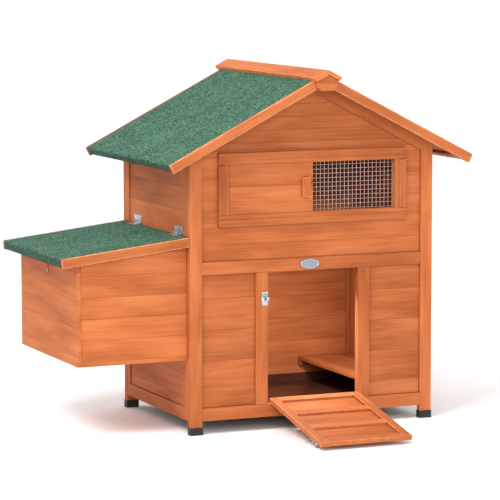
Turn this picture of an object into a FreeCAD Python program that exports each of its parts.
# A small flat-packed timber chicken coop on four legs, with a felted gable roof, a nest box on its
# left side, a sliding window board, a pull-out tray and a door that folds down into a ramp.
# House frame: X from the left wall's outer face, Y from the front face, Z from the ground.
# Every piece is then moved so that the origin is under the middle of the whole coop.
import FreeCAD, Part
import os
import re
import Sketcher

# Driving sizes, in millimetres and degrees.
sizes = {
    "house_width": 760,
    "house_depth": 527,
    "leg_width": 36,
    "leg_depth": 20,
    "cap_height": 22.4,
    "cap_wall": 1.3,
    "cap_floor": 3,
    "rail_base": 39,
    "rail_height": 37,
    "mid_rail_height": 36.5,
    "side_stile_width": 26,
    "side_depth": 20,
    "door_width": 284,
    "door_height": 379.5,
    "door_stile_width": 37,
    "panel_thickness": 10,
    "panel_recess": 8,
    "side_recess": 4,
    "window_margin": 87,
    "window_gap": 97.5,
    "window_height": 209,
    "window_head": 12,
    "window_seam": 5.5,
    "window_strip": 34,
    "window_thickness": 10,
    "window_lip": 14,
    "window_step": 3,
    "window_groove": 10,
    "slide_thickness": 5.4,
    "slide_clearance": 0.5,
    "handle_width": 24,
    "handle_height": 57,
    "handle_thickness": 9,
    "handle_inset": 12,
    "mesh_pitch": 12.7,
    "mesh_wire": 1.3,
    "mesh_lap": 9,
    "badge_width": 57,
    "badge_height": 28,
    "badge_thickness": 2,
    "roof_pitch": 27.16,
    "eave_overhang": 91,
    "gable_overhang": 78,
    "roof_board": 10,
    "felt_thickness": 2,
    "felt_wrap": 20,
    "eave_batten": 20,
    "barge_thickness": 12,
    "barge_height": 27,
    "rake_height": 36,
    "cap_board_width": 40,
    "cap_board_thickness": 11,
    "cap_board_overhang": 27,
    "end_block_thickness": 20,
    "end_block_shoulder": 33,
    "end_block_waist": 28,
    "end_block_foot": 19,
    "end_block_drop": 38,
    "end_block_toe": 8,
    "nest_depth": 329,
    "nest_board": 12,
    "nest_base": 213,
    "nest_front": 25,
    "nest_rear": 19,
    "nest_hole_width": 150,
    "nest_hole_height": 200,
    "nest_hole_sill": 20,
    "nest_divider_height": 190,
    "lid_overhang": 51.96,
    "lid_fall": 6.6,
    "lid_height": 565,
    "lid_front": 2,
    "lid_rear": 8,
    "lid_fascia": 27,
    "lid_fascia_thickness": 10,
    "lid_wrap": 24,
    "lid_batten": 12,
    "lid_play": 1,
    "lid_hinge_length": 60,
    "lid_hinge_leaf": 22,
    "lid_hinge_plate": 1.4,
    "lid_hinge_knuckle": 2.8,
    "lid_hinge_pin": 1.1,
    "lid_hinge_front": 67,
    "lid_hinge_rear": 81,
    "ramp_play": 2,
    "ramp_head_gap": 21.5,
    "ramp_foot_gap": 0.5,
    "ramp_thickness": 14,
    "ramp_stile": 25,
    "ramp_rail": 26,
    "ramp_board": 7,
    "ramp_end_lift": 12,
    "ramp_hinge_length": 50,
    "ramp_hinge_leaf": 22,
    "ramp_hinge_plate": 1.5,
    "ramp_hinge_knuckle": 3.5,
    "ramp_hinge_pin": 1.25,
    "ramp_hinge_inset": 34,
    "knuckle_gap": 0.3,
    "knuckle_relief": 0.4,
    "pin_clearance": 0.05,
    "bolt_inset": 56,
    "bolt_plate_length": 56,
    "bolt_plate_width": 26,
    "bolt_plate": 1.5,
    "bolt_radius": 2.5,
    "bolt_axis_rise": 3.2,
    "bolt_guide_length": 6,
    "bolt_guide_inset": 4,
    "bolt_guide_wall": 1.4,
    "bolt_reach": 20,
    "bolt_length": 76,
    "bolt_travel": 24,
    "bolt_play": 1,
    "bolt_clearance": 0.08,
    "knob_radius": 4,
    "knob_length": 17,
    "keeper_width": 20,
    "keeper_height": 40,
    "keeper_loop": 9,
    "hook_pivot_drop": 31,
    "hook_ring": 3.6,
    "hook_wire": 1,
    "hook_ring_wire": 1.15,
    "hook_shank": 20,
    "hook_bend": 4.5,
    "hook_screw": 2.3,
    "hook_head": 4.2,
    "eye_stem": 6,
    "eye_gap": 7,
    "tray_play": 2,
    "tray_lift": 0.2,
    "tray_wall": 1.5,
    "tray_height": 27,
    "tray_slot_width": 90,
    "tray_slot_height": 16,
    "runner_width": 15,
    "runner_height": 4,
    "shelf_width": 184,
    "shelf_base": 110,
    "shelf_thickness": 11,
    "cleat_section": 15,
    "perch_width": 28,
    "perch_height": 22,
    "perch_base": 536,
    "perch_back": 300,
    "perch_bracket_width": 40,
    "perch_bracket_depth": 14,
    "perch_bracket_floor": 16,
}

# Heights and lines that follow from the driving sizes.
mid_x = "(house_width / 2)"
rail_top = "(rail_base + rail_height)"
door_top = f"({rail_top} + door_height)"
mid_rail_top = f"({door_top} + mid_rail_height)"
window_base = f"({mid_rail_top} + window_gap)"
gable_base = f"({window_base} + window_height + window_seam)"
wall_top = f"({window_base} + window_height + window_head)"
slope = "tan(roof_pitch)"
roof_build = "(roof_board + felt_thickness)"
ridge_top = f"({wall_top} + {roof_build} / cos(roof_pitch) + {mid_x} * {slope})"
roof_length = f"(({mid_x} + eave_overhang) / cos(roof_pitch))"
door_left = "((house_width - door_width) / 2)"
window_inner_left = "(window_margin + window_strip)"
window_inner_right = "(house_width - window_margin - window_strip)"
window_inner_base = f"({window_base} + window_strip)"
window_inner_height = "(window_height - 2 * window_strip)"
rear_face = "(house_depth - leg_depth)"
ramp_width = "(door_width - 2 * ramp_play)"
ramp_length = "(door_height - ramp_head_gap)"
ramp_axis_y = "(0 - ramp_hinge_knuckle)"
ramp_axis_z = f"({rail_top} + ramp_play - ramp_foot_gap)"
ramp_rise = f"({ramp_axis_z} + ramp_hinge_knuckle - ramp_end_lift)"
ramp_fall = f"(asin({ramp_rise} / ({ramp_length} + ramp_foot_gap)) / (1 deg))"
ramp_turn = f"(90 + {ramp_fall})"
lid_length = "((nest_depth + lid_overhang) / cos(lid_fall))"
lid_axis_x = "(side_recess - lid_hinge_knuckle)"
lid_axis_z = f"(lid_height + {lid_axis_x} * tan(lid_fall) + lid_hinge_knuckle / cos(lid_fall))"
nest_rear_face = "(house_depth - nest_rear)"
tray_base = "(rail_base + runner_height + tray_lift)"

# The coop reaches from the lid's outer edge to the right eave, and from the ramp's end to the ridge
# cap's rear end: its middle is the origin.
left_reach = "(nest_depth + lid_overhang)"
right_reach = "(house_width + eave_overhang)"
front_reach = (
    f"(ramp_hinge_knuckle + (ramp_hinge_knuckle + ramp_thickness) * sin({ramp_fall})"
    f" + ({ramp_length} + ramp_foot_gap) * cos({ramp_fall}))"
)
rear_reach = "(house_depth + gable_overhang + cap_board_overhang)"
origin_x = f"(({right_reach} - {left_reach}) / 2)"
origin_y = f"(({rear_reach} - {front_reach}) / 2)"

doc = FreeCAD.newDocument("chicken_coop")
sheet = doc.addObject("Spreadsheet::Sheet", "Sizes")
for row, (alias, value) in enumerate(sizes.items(), 1):
    sheet.set(f"A{row}", alias)
    sheet.set(f"B{row}", str(value))
    sheet.setAlias(f"B{row}", alias)
doc.recompute()

nodes = []


def formula(text):
    """Points each size named in the text at its cell."""
    words = re.compile(r"[a-z_]+")
    return words.sub(lambda word: "Sizes." + word.group() if word.group() in sizes else word.group(), text)


def put(piece, corner, local):
    """Places a piece by its corner, in the house frame or in the frame of its own group."""
    shift = ("0", "0", "0") if local else (origin_x, origin_y, "0")
    for letter, place, back in zip("xyz", corner, shift):
        piece.setExpression(f"Placement.Base.{letter}", formula(f"{place} - {back}"))


def turn(piece, axis, angle):
    piece.Placement.Rotation = FreeCAD.Rotation(FreeCAD.Vector(*axis), 1)
    piece.setExpression("Placement.Rotation.Angle", formula(angle))


def node(piece, name):
    """Marks a finished piece as a part of its own."""
    piece.Label = name
    nodes.append(piece)
    return piece


def board(name, corner, size, local=False):
    piece = doc.addObject("Part::Box", name)
    for side, text in zip(("Length", "Width", "Height"), size):
        piece.setExpression(side, formula(text))
    put(piece, corner, local)
    return piece


def rod(name, start, radius, length, axis, local=False):
    """A round bar from its start, along X, Y, Z, or back down along Z."""
    piece = doc.addObject("Part::Cylinder", name)
    piece.setExpression("Radius", formula(radius))
    piece.setExpression("Height", formula(length))
    turns = {"x": ((0, 1, 0), 90), "y": ((1, 0, 0), -90), "z": ((0, 0, 1), 0), "-y": ((1, 0, 0), 90)}
    direction, angle = turns[axis]
    piece.Placement.Rotation = FreeCAD.Rotation(FreeCAD.Vector(*direction), angle)
    put(piece, start, local)
    return piece


def ring(name, centre, radius, wire, axis, sweep=360, local=False):
    """A round wire bent into a ring, or part of one, about an axis along X or Y."""
    piece = doc.addObject("Part::Torus", name)
    piece.setExpression("Radius1", formula(radius))
    piece.setExpression("Radius2", formula(wire))
    piece.Angle3 = sweep
    turns = {"x": ((0, 1, 0), 90), "y": ((1, 0, 0), -90)}
    direction, angle = turns[axis]
    piece.Placement.Rotation = FreeCAD.Rotation(FreeCAD.Vector(*direction), angle)
    put(piece, centre, local)
    return piece


def origin_plane(body, role):
    return next(plane for plane in body.Origin.OriginFeatures if plane.Role == role)


def draw(sketch, outline, label):
    """Draws a closed outline whose corners are each tied to the sheet."""
    first = sketch.GeometryCount
    count = len(outline)
    corners = [FreeCAD.Vector(10 * index, 3 * index * index, 0) for index in range(count)]
    for index in range(count):
        sketch.addGeometry(Part.LineSegment(corners[index], corners[(index + 1) % count]), False)
    for index in range(count):
        follower = first + (index + 1) % count
        sketch.addConstraint(Sketcher.Constraint("Coincident", first + index, 2, follower, 1))
    for index, corner in enumerate(outline):
        for kind, text in zip(("DistanceX", "DistanceY"), corner):
            tie = sketch.addConstraint(Sketcher.Constraint(kind, -1, 1, first + index, 1, 10.0 + index))
            sketch.renameConstraint(tie, f"{label}{index}{kind[-1]}")
            sketch.setExpression(f"Constraints.{label}{index}{kind[-1]}", formula(text))


def cut_board(name, plane, outline, thickness, corner, holes=(), local=False):
    """A board sawn to an outline: XZ outlines run back along Y, YZ outlines run along X."""
    body = doc.addObject("PartDesign::Body", name)
    sketch = body.newObject("Sketcher::SketchObject", f"{name}_outline")
    sketch.AttachmentSupport = [(origin_plane(body, f"{plane}_Plane"), "")]
    sketch.MapMode = "FlatFace"
    draw(sketch, outline, "edge")
    for index, hole in enumerate(holes):
        draw(sketch, hole, f"hole{'abcd'[index]}")
    pad = body.newObject("PartDesign::Pad", f"{name}_pad")
    pad.Profile = sketch
    pad.Reversed = plane == "XZ"
    pad.setExpression("Length", formula(thickness))
    body.Tip = pad
    put(body, corner, local)
    return body


def rectangle(left, base, width, height):
    right = f"({left}) + ({width})"
    top = f"({base}) + ({height})"
    return [(left, base), (right, base), (right, top), (left, top)]


def joined(name, pieces):
    piece = doc.addObject("Part::MultiFuse", name)
    piece.Shapes = pieces
    return piece


def cut(name, base, tool):
    piece = doc.addObject("Part::Cut", name)
    piece.Base = base
    piece.Tool = tool
    return piece


def group(name, pieces, corner=None, axis=None, angle=None):
    """Holds separate pieces together; with a corner they move and turn as one."""
    piece = doc.addObject("Part::Compound", name)
    piece.Links = pieces
    if axis:
        turn(piece, axis, angle)
    if corner:
        put(piece, corner, False)
    return piece


def mirrored(side, across):
    """The same distance from the left wall or from the right one."""
    return f"({across})" if side == "left" else f"(house_width - ({across}))"


def make_legs():
    caps = []
    for side in ("left", "right"):
        for end, back in (("front", "0"), ("rear", rear_face)):
            outer, inner = mirrored(side, "0"), mirrored(side, "leg_width")
            outline = [
                (outer, "cap_floor"),
                (inner, "cap_floor"),
                (inner, f"{wall_top} + leg_width * {slope}"),
                (outer, wall_top),
            ]
            leg = cut_board(f"leg_{end}_{side}", "XZ", outline, "leg_depth", ("0", back, "0"))
            node(leg, f"leg_{end}_{side}")
            low = "0" if side == "left" else "house_width - leg_width"
            shell = board(
                f"cap_shell_{end}_{side}",
                (f"{low} - cap_wall", f"{back} - cap_wall", "0"),
                ("leg_width + 2 * cap_wall", "leg_depth + 2 * cap_wall", "cap_height"),
            )
            socket = board(
                f"cap_socket_{end}_{side}", (low, back, "cap_floor"), ("leg_width", "leg_depth", "cap_height")
            )
            caps.append(cut(f"cap_{end}_{side}", shell, socket))
    node(group("caps", caps), "foot_caps")


def make_front_frame():
    inside = "house_width - 2 * leg_width"
    lower = board("front_rail_low", ("leg_width", "0", "rail_base"), (inside, "leg_depth", "rail_height"))
    node(lower, "front_bottom_rail")
    middle = board("front_rail_mid", ("leg_width", "0", door_top), (inside, "leg_depth", "mid_rail_height"))
    node(middle, "front_mid_rail")
    stiles = []
    panels = []
    for side in ("left", "right"):
        stile_x = f"{door_left} - door_stile_width" if side == "left" else f"{door_left} + door_width"
        stile = board(
            f"door_stile_{side}", (stile_x, "0", rail_top), ("door_stile_width", "leg_depth", "door_height")
        )
        stiles.append(stile)
        panel_x = "leg_width" if side == "left" else f"{door_left} + door_width + door_stile_width"
        panel = board(
            f"low_panel_{side}",
            (panel_x, "panel_recess", rail_top),
            (f"{door_left} - door_stile_width - leg_width", "panel_thickness", "door_height"),
        )
        panels.append(panel)
    node(group("door_stiles_pair", stiles), "door_stiles")
    node(group("low_panels_pair", panels), "front_lower_panels")
    hole = rectangle(
        f"{mid_x} + 2 * slide_clearance",
        f"{window_inner_base} + slide_clearance",
        f"{window_inner_right} - {mid_x} - 2 * slide_clearance",
        f"{window_inner_height} - slide_clearance",
    )
    outline = rectangle("leg_width", mid_rail_top, inside, f"{gable_base} - {mid_rail_top}")
    wall = cut_board("wall_board", "XZ", outline, "panel_thickness", ("0", "panel_recess", "0"), [hole])
    node(wall, "front_wall_panel")
    node(cut_board("gable_board", "XZ", gable_outline(gable_base), "panel_thickness",
                   ("0", "panel_recess", "0")), "front_gable_panel")


def gable_outline(base):
    """From leg to leg, up to the underside of the roof."""
    shoulder = f"{wall_top} + leg_width * {slope}"
    return [
        ("leg_width", base),
        ("house_width - leg_width", base),
        ("house_width - leg_width", shoulder),
        (mid_x, f"{wall_top} + {mid_x} * {slope}"),
        ("leg_width", shoulder),
    ]


def make_rakes():
    """Battens that follow the roof inside each gable, cut plumb at the legs and at the middle."""
    rakes = []
    drop = "rake_height / cos(roof_pitch)"
    for end, back in (("front", "0"), ("rear", "house_depth - panel_recess")):
        for side in ("left", "right"):
            low = f"{wall_top} + leg_width * {slope}"
            high = f"{wall_top} + {mid_x} * {slope}"
            outer = mirrored(side, "leg_width")
            outline = [(outer, f"{low} - {drop}"), (mid_x, f"{high} - {drop}"), (mid_x, high), (outer, low)]
            rakes.append(cut_board(f"rake_{end}_{side}", "XZ", outline, "panel_recess", ("0", back, "0")))
    node(group("rakes", rakes), "rake_battens")


def make_rear_frame():
    inside = "house_width - 2 * leg_width"
    rails = [
        board("rear_rail_low", ("leg_width", rear_face, "rail_base"), (inside, "leg_depth", "rail_height")),
        board("rear_rail_mid", ("leg_width", rear_face, door_top), (inside, "leg_depth", "mid_rail_height")),
    ]
    node(group("rear_rail_pair", rails), "rear_rails")
    panel_back = "house_depth - panel_recess - panel_thickness"
    lower = board("rear_low", ("leg_width", panel_back, rail_top), (inside, "panel_thickness", "door_height"))
    node(lower, "rear_lower_panel")
    upper = cut_board("rear_high", "XZ", gable_outline(mid_rail_top), "panel_thickness", ("0", panel_back, "0"))
    node(upper, "rear_upper_panel")


def make_side_frames():
    """Each side has two stiles and two rails; on the right the tray's front takes the low rail's place."""
    front = "leg_depth"
    inner = "leg_depth + side_stile_width"
    span = "house_depth - 2 * leg_depth - 2 * side_stile_width"
    rear = "house_depth - leg_depth - side_stile_width"
    for side in ("left", "right"):
        low = "rail_base" if side == "left" else f"{rail_top} + bolt_play"
        face = "0" if side == "left" else "house_width - side_depth"
        timbers = [
            board(f"{side}_stile_front", (face, front, low),
                  ("side_depth", "side_stile_width", f"{wall_top} - ({low})")),
            board(f"{side}_stile_rear", (face, rear, low),
                  ("side_depth", "side_stile_width", f"{wall_top} - ({low})")),
            board(f"{side}_rail_low", (face, inner, low), ("side_depth", span, "rail_height")),
            board(f"{side}_rail_top", (face, inner, f"{wall_top} - rail_height"),
                  ("side_depth", span, "rail_height")),
        ]
        node(group(f"{side}_timbers", timbers), f"{side}_side_frame")
        base = f"{low} + rail_height"
        outline = rectangle(inner, base, span, f"{wall_top} - rail_height - ({base})")
        holes = nest_holes() if side == "left" else ()
        panel_x = "side_recess" if side == "left" else "house_width - side_recess - panel_thickness"
        panel = cut_board(f"{side}_board", "YZ", outline, "panel_thickness", (panel_x, "0", "0"), holes)
        node(panel, f"{side}_side_panel")


def nest_holes():
    """One hole in the wall for each half of the nest box."""
    near = "(nest_front + nest_board)"
    far = f"({nest_rear_face} - nest_board)"
    centre = f"(({near} + {far}) / 2)"
    half = f"(({far} - {near} - nest_board) / 2)"
    base = "nest_base + nest_board + nest_hole_sill"
    holes = []
    for start in (near, f"({centre} + nest_board / 2)"):
        left = f"{start} + ({half} - nest_hole_width) / 2"
        holes.append(rectangle(left, base, "nest_hole_width", "nest_hole_height"))
    return holes


def window_strip(name, length, corner, axis=None, angle="0"):
    """A stepped strip along X: a thick outer edge, a lower lip, and a groove behind the lip."""
    depth, step = "window_thickness", "window_step"
    groove = "slide_thickness + 2 * slide_clearance / 5"
    lip, strip = "window_strip - window_lip", "window_strip"
    outline = [
        ("0", "0"),
        ("0", lip),
        (step, lip),
        (step, strip),
        (f"{depth} - ({groove})", strip),
        (f"{depth} - ({groove})", "window_strip - window_groove"),
        (depth, "window_strip - window_groove"),
        (depth, "0"),
    ]
    strip_board = cut_board(name, "YZ", outline, length, ("0", "0", "0"), local=True)
    return group(f"{name}_placed", [strip_board], corner, axis, angle)


def make_window():
    front = "panel_recess - window_thickness"
    left, right = "window_margin", "house_width - window_margin"
    top = f"{window_base} + window_height"
    long = "house_width - 2 * window_margin"
    short = "window_height - 2 * window_strip"
    # The upper strip and the side strips are the lower one, turned about the front-to-back axis.
    strips = [
        window_strip("strip_low", long, (left, front, window_base)),
        window_strip("strip_high", long, (right, front, top), (0, 1, 0), "180"),
        window_strip("strip_left", short, (left, front, f"{top} - window_strip"), (0, 1, 0), "90"),
        window_strip("strip_right", short, (right, front, window_inner_base), (0, 1, 0), "270"),
    ]
    node(group("window_strips", strips), "window_frame")
    make_mesh()
    slide_left = f"({window_inner_left} - window_groove + slide_clearance)"
    slide_face = "(panel_recess - slide_thickness - slide_clearance / 5)"
    slide = board(
        "slide",
        (slide_left, slide_face, f"{window_inner_base} - window_groove + slide_clearance"),
        (f"{mid_x} - {slide_left}", "slide_thickness",
         f"{window_inner_height} + 2 * window_groove - 2 * slide_clearance"),
    )
    node(slide, "slide_board")
    handle = board(
        "handle",
        (f"{mid_x} - handle_inset - handle_width", f"{slide_face} - handle_thickness",
         f"{window_inner_base} + ({window_inner_height} - handle_height) / 2"),
        ("handle_width", "handle_thickness", "handle_height"),
    )
    node(handle, "slide_handle")


def make_mesh():
    """Welded wire behind the wall board: upright wires in front, level wires pressed into them."""
    left = f"({mid_x} - mesh_lap)"
    right = f"({window_inner_right} + mesh_lap)"
    base = f"({window_inner_base} - mesh_lap)"
    height = f"({window_inner_height} + 2 * mesh_lap)"
    face = "(panel_recess + panel_thickness)"
    pitch = sizes["mesh_pitch"]
    span = sizes["house_width"] / 2 - sizes["window_margin"] - sizes["window_strip"] + 2 * sizes["mesh_lap"]
    rise = sizes["window_height"] - 2 * sizes["window_strip"] + 2 * sizes["mesh_lap"]
    wires = []
    for index in range(int(span // pitch) + 1):
        corner = (f"{left} + {index} * mesh_pitch", face, base)
        wires.append(board(f"wire_up_{index}", corner, ("mesh_wire", "mesh_wire", height)))
    for index in range(int(rise // pitch) + 1):
        corner = (left, f"{face} + mesh_wire * 4 / 5", f"{base} + {index} * mesh_pitch")
        wires.append(board(f"wire_across_{index}", corner, (f"{right} - {left}", "mesh_wire", "mesh_wire")))
    node(joined("mesh", wires), "window_mesh")


def make_badge():
    oval = doc.addObject("Part::Ellipse", "badge_oval")
    oval.setExpression("MajorRadius", formula("badge_width / 2"))
    oval.setExpression("MinorRadius", formula("badge_height / 2"))
    plate = doc.addObject("Part::Extrusion", "badge_plate")
    plate.Base = oval
    plate.DirMode = "Custom"
    plate.Dir = FreeCAD.Vector(0, 0, 1)
    plate.Solid = True
    plate.setExpression("LengthFwd", formula("badge_thickness"))
    corner = (f"{mid_x} - badge_width / 5", "0", f"{door_top} + mid_rail_height / 2")
    node(group("badge_placed", [plate], corner, (1, 0, 0), "90"), "badge")


def make_roof():
    """Each slope is built flat from the ridge line and turned down to the pitch."""
    front = "0 - gable_overhang + barge_thickness"
    run = "house_depth + 2 * gable_overhang - 2 * barge_thickness"
    start = f"({roof_build} * {slope})"
    eave = f"({roof_length} - felt_thickness)"
    battens = []
    for side, sign in (("left", "-1"), ("right", "1")):
        angle = f"{sign} * roof_pitch"
        axis = (0, 1, 0)
        corner = (mid_x, front, ridge_top)

        def flat(name, near, far, low, high):
            across = near if side == "right" else f"0 - ({far})"
            return board(name, (across, "0", low), (f"({far}) - ({near})", run, f"({high}) - ({low})"), True)

        deck = flat(f"deck_{side}", start, eave, f"0 - {roof_build}", "0 - felt_thickness")
        node(group(f"deck_{side}_placed", [deck], corner, axis, angle), f"roof_board_{side}")
        sheet_top = flat(f"felt_top_{side}", start, roof_length, "0 - felt_thickness", "0")
        sheet_edge = flat(f"felt_edge_{side}", eave, roof_length, "0 - felt_wrap", "0")
        felt = joined(f"felt_{side}", [sheet_top, sheet_edge])
        node(group(f"felt_{side}_placed", [felt], corner, axis, angle), f"roof_felt_{side}")
        batten = flat(f"batten_{side}", f"{eave} - eave_batten", eave, "0 - felt_wrap", f"0 - {roof_build}")
        battens.append(group(f"batten_{side}_placed", [batten], corner, axis, angle))
    node(group("batten_pair", battens), "eave_battens")


def make_barge_boards():
    for end, back in (("front", "0 - gable_overhang"), ("rear", "house_depth + gable_overhang - barge_thickness")):
        boards = []
        for side in ("left", "right"):
            tip = "(0 - eave_overhang)"
            tip_z = f"({ridge_top} - ({mid_x} + eave_overhang) * {slope})"
            outline = [
                (mid_x, ridge_top),
                (mirrored(side, tip), tip_z),
                (mirrored(side, f"{tip} + barge_height * sin(roof_pitch)"),
                 f"{tip_z} - barge_height * cos(roof_pitch)"),
                (mid_x, f"{ridge_top} - barge_height / cos(roof_pitch)"),
            ]
            boards.append(cut_board(f"barge_{end}_{side}", "XZ", outline, "barge_thickness", ("0", back, "0")))
        node(group(f"barge_{end}", boards), f"{end}_barge_boards")


def make_ridge():
    """Two cap boards meet on a plumb joint over the ridge; a shaped block closes each end."""
    front = "(0 - gable_overhang - cap_board_overhang)"
    run = "house_depth + 2 * gable_overhang + 2 * cap_board_overhang"
    wings = []
    for side in ("left", "right"):
        low_x = f"{mid_x} - cap_board_width * cos(roof_pitch)"
        low_z = f"{ridge_top} - cap_board_width * sin(roof_pitch)"
        outline = [
            (mid_x, ridge_top),
            (mirrored(side, low_x), low_z),
            (mirrored(side, f"{low_x} - cap_board_thickness * sin(roof_pitch)"),
             f"{low_z} + cap_board_thickness * cos(roof_pitch)"),
            (mid_x, f"{ridge_top} + cap_board_thickness / cos(roof_pitch)"),
        ]
        wings.append(cut_board(f"cap_board_{side}", "XZ", outline, run, ("0", front, "0")))
    node(group("cap_boards", wings), "ridge_cap_boards")
    outline = [(mid_x, ridge_top)]
    levels = [
        ("end_block_shoulder", f"{ridge_top} - end_block_shoulder * {slope}"),
        ("end_block_waist", f"{ridge_top} - end_block_drop"),
        ("end_block_foot", f"{ridge_top} - end_block_drop - end_block_toe"),
    ]
    outline += [(f"{mid_x} + {reach}", level) for reach, level in levels]
    outline += [(f"{mid_x} - {reach}", level) for reach, level in reversed(levels)]
    blocks = []
    for end, back in (("front", "0 - gable_overhang - end_block_thickness"), ("rear", "house_depth + gable_overhang")):
        blocks.append(cut_board(f"block_{end}", "XZ", outline, "end_block_thickness", ("0", back, "0")))
    node(group("block_pair", blocks), "ridge_end_blocks")


def make_interior():
    inner_front = "(panel_recess + panel_thickness)"
    inner_rear = "(house_depth - panel_recess - panel_thickness)"
    inner_right = "(house_width - side_recess - panel_thickness)"
    shelf_x = f"({inner_right} - shelf_width)"
    shelf = board("shelf", (shelf_x, "leg_depth", "shelf_base"),
                  (f"house_width - side_depth - {shelf_x}", f"{rear_face} - leg_depth", "shelf_thickness"))
    node(shelf, "interior_shelf")
    width = f"house_width - leg_width - {shelf_x}"
    cleat_z = "shelf_base - cleat_section"
    runner_x = "leg_width"
    runner = ("house_width - 2 * leg_width", "runner_width", "runner_height")
    cleats = [
        board("cleat_front", (shelf_x, inner_front, cleat_z), (width, "cleat_section", "cleat_section")),
        board("cleat_rear", (shelf_x, f"{inner_rear} - cleat_section", cleat_z),
              (width, "cleat_section", "cleat_section")),
        board("runner_front", (runner_x, "leg_depth", "rail_base"), runner),
        board("runner_rear", (runner_x, f"{rear_face} - runner_width", "rail_base"), runner),
    ]
    node(group("cleats", cleats), "interior_cleats")
    inner_left = "(side_recess + panel_thickness)"
    bar = board("bar", (inner_left, "perch_back", "perch_base"),
                (f"{inner_right} - {inner_left}", "perch_width", "perch_height"))
    node(bar, "perch_bar")
    brackets = []
    for side, face in (("left", inner_left), ("right", f"{inner_right} - perch_bracket_depth")):
        block = board(
            f"bracket_block_{side}",
            (face, "perch_back + perch_width / 2 - perch_bracket_width / 2", "perch_base - perch_bracket_floor"),
            ("perch_bracket_depth", "perch_bracket_width", "perch_bracket_floor + perch_height * 3 / 5"),
        )
        seat = board(f"bracket_seat_{side}", (face, "perch_back", "perch_base"),
                     ("perch_bracket_depth", "perch_width", "perch_height"))
        brackets.append(cut(f"bracket_{side}", block, seat))
    node(group("bracket_pair", brackets), "perch_brackets")


def make_tray():
    """A folded pan on two runners; its front board fills the gap under the right wall."""
    length = "(house_width - side_depth - tray_play - side_depth)"
    width = "(house_depth - 2 * leg_depth - 2 * tray_play)"
    corner = ("side_depth + tray_play", "leg_depth + tray_play", tray_base)
    shell = board("pan_shell", corner, (length, width, "tray_height"))
    inner = (f"{corner[0]} + tray_wall", f"{corner[1]} + tray_wall", f"{corner[2]} + tray_wall")
    hollow = board("pan_hollow", inner,
                   (f"{length} - 2 * tray_wall", f"{width} - 2 * tray_wall", "tray_height"))
    node(cut("pan", shell, hollow), "tray_pan")
    front_y = "leg_depth + tray_play / 2"
    front_width = "(house_depth - 2 * leg_depth - tray_play)"
    outline = rectangle(front_y, "rail_base", front_width, "rail_height")
    slot = rectangle(f"(house_depth - tray_slot_width) / 2", "rail_base + rail_height / 2 - tray_slot_height / 2",
                     "tray_slot_width", "tray_slot_height")
    front = cut_board("tray_face", "YZ", outline, "side_depth", ("house_width - side_depth", "0", "0"), [slot])
    node(front, "tray_front")


def nest_side_outline():
    """From the wall to the end board, under the sloping lid."""
    under = f"(lid_height - {roof_build} / cos(lid_fall) - lid_play / 2)"
    reach = "(nest_depth - nest_board)"
    return [
        (f"0 - {reach}", "nest_base"),
        ("0", "nest_base"),
        ("0", under),
        (f"0 - {reach}", f"{under} - {reach} * tan(lid_fall)"),
    ]


def make_nest_box():
    sides = []
    for end, back in (("front", "nest_front"), ("rear", f"{nest_rear_face} - nest_board")):
        sides.append(cut_board(f"nest_side_{end}", "XZ", nest_side_outline(), "nest_board", ("0", back, "0")))
    node(group("nest_side_pair", sides), "nest_sides")
    inner_reach = "(nest_depth - nest_board)"
    inner_width = f"({nest_rear_face} - nest_front - 2 * nest_board)"
    floor = board("nest_floor_board", (f"0 - {inner_reach}", "nest_front + nest_board", "nest_base"),
                  (inner_reach, inner_width, "nest_board"))
    node(floor, "nest_floor")
    under = f"(lid_height - {roof_build} / cos(lid_fall) - lid_play / 2)"
    end = board("nest_end_panel", ("0 - nest_depth", "nest_front", "nest_base"),
                ("nest_board", f"{nest_rear_face} - nest_front", f"{under} - nest_depth * tan(lid_fall) - nest_base"))
    node(end, "nest_end_board")
    middle = f"((nest_front + {nest_rear_face} - nest_board) / 2)"
    divider = board("nest_middle", (f"0 - {inner_reach}", middle, "nest_base + nest_board"),
                    (inner_reach, "nest_board", "nest_divider_height"))
    node(divider, "nest_divider")


def lid_fascia_outline():
    """Cut plumb at the wall and square at the outer end."""
    near_z = "(lid_height - lid_play * tan(lid_fall))"
    far_x = f"(0 - {left_reach})"
    far_z = f"(lid_height - {left_reach} * tan(lid_fall))"
    return [
        ("0 - lid_play", near_z),
        (far_x, far_z),
        (f"{far_x} + lid_fascia * sin(lid_fall)", f"{far_z} - lid_fascia * cos(lid_fall)"),
        ("0 - lid_play", f"{near_z} - lid_fascia / cos(lid_fall)"),
    ]


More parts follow.
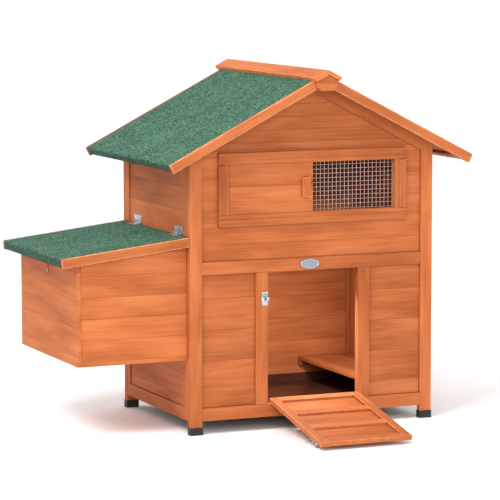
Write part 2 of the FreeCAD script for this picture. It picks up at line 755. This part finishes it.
def make_lid():
    """The lid is built flat from the wall line and turned down to its fall."""
    axis, angle, corner = (0, 1, 0), "0 - lid_fall", ("0", "0", "lid_height")
    front, rear = "lid_front", "(house_depth - lid_rear)"
    inner = "(lid_front + lid_fascia_thickness)"
    width = f"({rear} - lid_fascia_thickness - {inner})"
    wood_end = f"({lid_length} - felt_thickness)"
    deck = board("lid_deck", (f"0 - {wood_end}", inner, f"0 - {roof_build}"),
                 (f"{wood_end} - lid_play - {roof_build} * tan(lid_fall)", width, "roof_board"), True)
    node(group("lid_deck_placed", [deck], corner, axis, angle), "lid_board")
    sheet_top = board("lid_felt_top", (f"0 - {lid_length}", inner, "0 - felt_thickness"),
                      (f"{lid_length} - lid_play", width, "felt_thickness"), True)
    sheet_edge = board("lid_felt_edge", (f"0 - {lid_length}", inner, "0 - lid_wrap"),
                       ("felt_thickness", width, "lid_wrap"), True)
    felt = joined("lid_felt_sheet", [sheet_top, sheet_edge])
    node(group("lid_felt_placed", [felt], corner, axis, angle), "lid_felt")
    end_batten = board("lid_end", (f"0 - {wood_end}", inner, "0 - lid_wrap"),
                       ("lid_batten", width, f"lid_wrap - {roof_build}"), True)
    battens = [group("lid_end_placed", [end_batten], corner, axis, angle)]
    for end, back in (("front", front), ("rear", f"{rear} - lid_fascia_thickness")):
        battens.append(cut_board(f"fascia_{end}", "XZ", lid_fascia_outline(), "lid_fascia_thickness",
                                 ("0", back, "0")))
    node(group("lid_battens", battens), "lid_edge_battens")


def hinge_leaf(name, kind, side, knuckles):
    """One leaf with its pin along X: the plate lies to the given side, its screw face looks down."""
    knuckle, plate = f"{kind}_knuckle", f"{kind}_plate"
    reach = f"({knuckle} + knuckle_relief)"
    part_length = f"(({kind}_length - 2 * knuckle_gap) / 3)"
    near = reach if side > 0 else f"0 - {kind}_leaf"
    pieces = [board(f"{name}_plate", ("0", near, f"0 - {knuckle}"),
                    (f"{kind}_length", f"{kind}_leaf - {reach}", plate), True)]
    for index in knuckles:
        start = f"{index} * ({part_length} + knuckle_gap)"
        pieces.append(rod(f"{name}_knuckle{index}", (start, "0", "0"), knuckle, part_length, "x", True))
        tab_y = "0" if side > 0 else f"0 - {reach}"
        pieces.append(board(f"{name}_tab{index}", (start, tab_y, f"0 - {knuckle}"),
                            (part_length, reach, plate), True))
    bore = rod(f"{name}_bore", ("0 - knuckle_gap", "0", "0"), f"{kind}_pin + pin_clearance",
               f"{kind}_length + 2 * knuckle_gap", "x", True)
    return cut(name, joined(f"{name}_solid", pieces), bore)


def make_ramp_hinges():
    start = f"({door_left} + ramp_play + ramp_hinge_inset)"
    places = (start, f"(house_width - {start} - ramp_hinge_length)")
    fixed, moving, pins = [], [], []
    for index, across in enumerate(places):
        corner = (across, ramp_axis_y, ramp_axis_z)
        low = hinge_leaf(f"rail_leaf_{index}", "ramp_hinge", -1, (0, 2))
        fixed.append(group(f"rail_leaf_{index}_placed", [low], corner, (1, 0, 0), "90"))
        high = hinge_leaf(f"ramp_leaf_{index}", "ramp_hinge", 1, (1,))
        moving.append(group(f"ramp_leaf_{index}_placed", [high], corner, (1, 0, 0), f"90 + {ramp_turn}"))
        pins.append(rod(f"ramp_pin_{index}", corner, "ramp_hinge_pin", "ramp_hinge_length", "x"))
    node(group("rail_leaves", fixed), "rail_hinge_leaves")
    node(group("ramp_leaves", moving), "ramp_hinge_leaves")
    return pins


def make_lid_hinges():
    places = ("lid_hinge_front", "house_depth - lid_hinge_rear - lid_hinge_length")
    fixed, moving, pins = [], [], []
    for index, back in enumerate(places):
        corner = (lid_axis_x, back, lid_axis_z)
        for leaf, side, knuckles, angle, row in (
            ("wall", -1, (0, 2), "-90", fixed),
            ("lid", 1, (1,), "0 - lid_fall", moving),
        ):
            flat = hinge_leaf(f"{leaf}_leaf_{index}", "lid_hinge", side, knuckles)
            along = group(f"{leaf}_leaf_{index}_along", [flat])
            turn(along, (0, 0, 1), "90")
            row.append(group(f"{leaf}_leaf_{index}_placed", [along], corner, (0, 1, 0), angle))
        pins.append(rod(f"lid_pin_{index}", corner, "lid_hinge_pin", "lid_hinge_length", "y"))
    node(group("wall_leaves", fixed), "wall_hinge_leaves")
    node(group("lid_leaves", moving), "lid_hinge_leaves")
    return pins


def in_ramp(name, pieces):
    """Ramp pieces are built shut, upright over the hinge pin, and turned down to the open place."""
    corner = (f"{door_left} + ramp_play", ramp_axis_y, ramp_axis_z)
    return group(name, pieces, corner, (1, 0, 0), ramp_turn)


def make_ramp():
    face, foot = "ramp_hinge_knuckle", "ramp_foot_gap"
    stile = ("ramp_stile", "ramp_thickness", ramp_length)
    timbers = [
        board("ramp_stile_left", ("0", face, foot), stile, True),
        board("ramp_stile_right", (f"{ramp_width} - ramp_stile", face, foot), stile, True),
    ]
    rails = 4
    for index in range(rails):
        up = f"{foot} + {index} * ({ramp_length} - ramp_rail) / {rails - 1}"
        timbers.append(board(f"ramp_rail_{index}", ("ramp_stile", f"{face} + ramp_board", up),
                             (f"{ramp_width} - 2 * ramp_stile", "ramp_thickness - ramp_board", "ramp_rail"), True))
    node(in_ramp("ramp_timbers", timbers), "ramp_frame")
    deck = board("ramp_deck", ("ramp_stile", face, foot),
                 (f"{ramp_width} - 2 * ramp_stile", "ramp_board", ramp_length), True)
    node(in_ramp("ramp_deck_placed", [deck]), "ramp_board")


def make_bolt():
    """A barrel bolt on the ramp's outer face; its keeper is on the door's left stile."""
    up = f"(ramp_foot_gap + {ramp_length} - bolt_inset)"
    out = "(ramp_hinge_knuckle - bolt_plate - bolt_axis_rise)"
    guide = ("bolt_guide_length", "bolt_axis_rise + bolt_radius + bolt_guide_wall",
             "2 * (bolt_radius + bolt_guide_wall)")
    guide_y = f"{out} - bolt_radius - bolt_guide_wall"
    guide_z = f"{up} - bolt_radius - bolt_guide_wall"
    near = "bolt_guide_inset"
    far = "bolt_plate_length - bolt_guide_inset - bolt_guide_length"
    plate = board("bolt_base", ("0", "ramp_hinge_knuckle - bolt_plate", f"{up} - bolt_plate_width / 2"),
                  ("bolt_plate_length", "bolt_plate", "bolt_plate_width"), True)
    guides = [board(f"bolt_guide_{index}", (across, guide_y, guide_z), guide, True)
              for index, across in enumerate((near, far))]
    bore = rod("bolt_bore", ("0", out, up), "bolt_radius + bolt_clearance", "bolt_plate_length", "x", True)
    node(in_ramp("bolt_plate_placed", [cut("bolt_guides", joined("bolt_body", [plate] + guides), bore)]), "bolt_plate")
    shaft = rod("bolt_shaft", ("0 - bolt_reach", out, up), "bolt_radius", "bolt_length", "x", True)
    knob_x = f"{near} + bolt_guide_length + bolt_play + knob_radius"
    knob = rod("bolt_knob", (knob_x, out, up), "knob_radius", "knob_length", "-y", True)
    node(in_ramp("bolt_rod_placed", [joined("bolt_bar", [shaft, knob])]), "bolt_rod")
    bolt_y = f"({ramp_axis_y} + {out})"
    bolt_z = f"({ramp_axis_z} + {up})"
    left = f"({door_left} - keeper_width)"
    base = board("keeper_base", (left, "0 - bolt_plate", f"{bolt_z} - keeper_height / 2"),
                 ("keeper_width", "bolt_plate", "keeper_height"))
    wall = "(2 * bolt_radius)"
    loop = board("keeper_arch", (f"{door_left} - keeper_loop", f"{bolt_y} - {wall}", f"{bolt_z} - {wall}"),
                 ("keeper_loop", f"0 - ({bolt_y}) + {wall} - bolt_plate / 2", f"2 * {wall}"))
    mouth = rod("keeper_mouth", (left, bolt_y, bolt_z), "bolt_radius + bolt_play", "keeper_width", "x")
    node(cut("keeper", joined("keeper_solid", [base, loop]), mouth), "bolt_keeper")


def hook_tail(corner):
    """Straight wire down from the ring, then half a turn up to the point."""
    body = doc.addObject("PartDesign::Body", "hook_wire_body")
    path = body.newObject("Sketcher::SketchObject", "hook_path")
    path.AttachmentSupport = [(origin_plane(body, "YZ_Plane"), "")]
    path.MapMode = "FlatFace"
    shank, bend = sizes["hook_shank"], sizes["hook_bend"]
    corner_low = FreeCAD.Vector(0, -shank, 0)
    path.addGeometry(Part.LineSegment(FreeCAD.Vector(0, 0, 0), corner_low), False)
    turn_low = Part.Arc(corner_low, FreeCAD.Vector(bend, -shank - bend, 0), FreeCAD.Vector(2 * bend, -shank, 0))
    path.addGeometry(turn_low, False)
    path.addConstraint(Sketcher.Constraint("Coincident", 0, 1, -1, 1))
    path.addConstraint(Sketcher.Constraint("Vertical", 0))
    path.addConstraint(Sketcher.Constraint("Tangent", 0, 2, 1, 1))
    path.addConstraint(Sketcher.Constraint("Horizontal", 1, 1, 1, 2))
    length = path.addConstraint(Sketcher.Constraint("Distance", 0, shank))
    path.renameConstraint(length, "shank")
    path.setExpression("Constraints.shank", formula("hook_shank"))
    radius = path.addConstraint(Sketcher.Constraint("Radius", 1, bend))
    path.renameConstraint(radius, "bend")
    path.setExpression("Constraints.bend", formula("hook_bend"))
    section = body.newObject("Sketcher::SketchObject", "hook_section")
    section.AttachmentSupport = [(origin_plane(body, "XY_Plane"), "")]
    section.MapMode = "FlatFace"
    section.addGeometry(Part.Circle(FreeCAD.Vector(0, 0, 0), FreeCAD.Vector(0, 0, 1), sizes["hook_wire"]), False)
    section.addConstraint(Sketcher.Constraint("Coincident", 0, 3, -1, 1))
    wire = section.addConstraint(Sketcher.Constraint("Radius", 0, sizes["hook_wire"]))
    section.renameConstraint(wire, "wire")
    section.setExpression("Constraints.wire", formula("hook_wire"))
    pipe = body.newObject("PartDesign::AdditivePipe", "hook_pipe")
    pipe.Profile = section
    pipe.Spine = path
    body.Tip = pipe
    put(body, corner, False)
    return body


def make_latch():
    """A wire hook hangs from a screw in the nest's end board; its eye is under the lid's edge."""
    under = f"(lid_height - {roof_build} / cos(lid_fall))"
    pivot_x = "(0 - nest_depth)"
    pivot_y = f"((nest_front + {nest_rear_face}) / 2)"
    pivot_z = f"({under} - nest_depth * tan(lid_fall) - hook_pivot_drop)"
    ring_x = f"({pivot_x} - 2 * hook_wire)"
    loop = ring("hook_loop", (ring_x, pivot_y, pivot_z), "hook_ring", "hook_ring_wire", "x")
    tail = hook_tail((ring_x, pivot_y, f"{pivot_z} - hook_ring"))
    node(joined("hook", [loop, tail]), "latch_hook")
    stem = rod("screw_stem", (f"{pivot_x} - 4 * hook_wire", pivot_y, pivot_z), "hook_screw", "4 * hook_wire", "x")
    head = rod("screw_head", (f"{pivot_x} - 5 * hook_wire", pivot_y, pivot_z), "hook_head", "hook_wire", "x")
    node(joined("screw", [stem, head]), "hook_screw")
    eye_x = f"({ring_x} - eye_gap)"
    eye_top = f"({under} + {eye_x} * tan(lid_fall))"
    eye_stem = rod("eye_stem_bar", (eye_x, pivot_y, f"{eye_top} - eye_stem"), "hook_wire",
                   "eye_stem - 2 * hook_wire / 5", "z")
    eye_loop = ring("eye_loop", (eye_x, pivot_y, f"{eye_top} - eye_stem - hook_ring"), "hook_ring",
                    "hook_ring_wire", "x")
    node(joined("eye", [eye_stem, eye_loop]), "lid_eye")


def check_and_write():
    """Stops on any failed object or bad solid, then writes one file for each part."""
    doc.recompute()
    for item in doc.Objects:
        if "Invalid" in item.State or "Error" in item.State:
            raise RuntimeError(f"{item.Name} failed: {item.State}")
    for piece in nodes:
        if piece.Shape.isNull() or not piece.Shape.isValid():
            raise RuntimeError(f"{piece.Label} has no sound solid")
    os.makedirs("parts", exist_ok=True)
    for piece in nodes:
        piece.Shape.exportStep(f"parts/{piece.Label}.step")
    print(len(nodes), "parts written")


make_legs()
make_front_frame()
make_rakes()
make_rear_frame()
make_side_frames()
make_window()
make_badge()
make_roof()
make_barge_boards()
make_ridge()
make_interior()
make_tray()
make_nest_box()
make_lid()
pins = make_ramp_hinges() + make_lid_hinges()
node(group("pins", pins), "hinge_pins")
make_ramp()
make_bolt()
make_latch()
check_and_write()
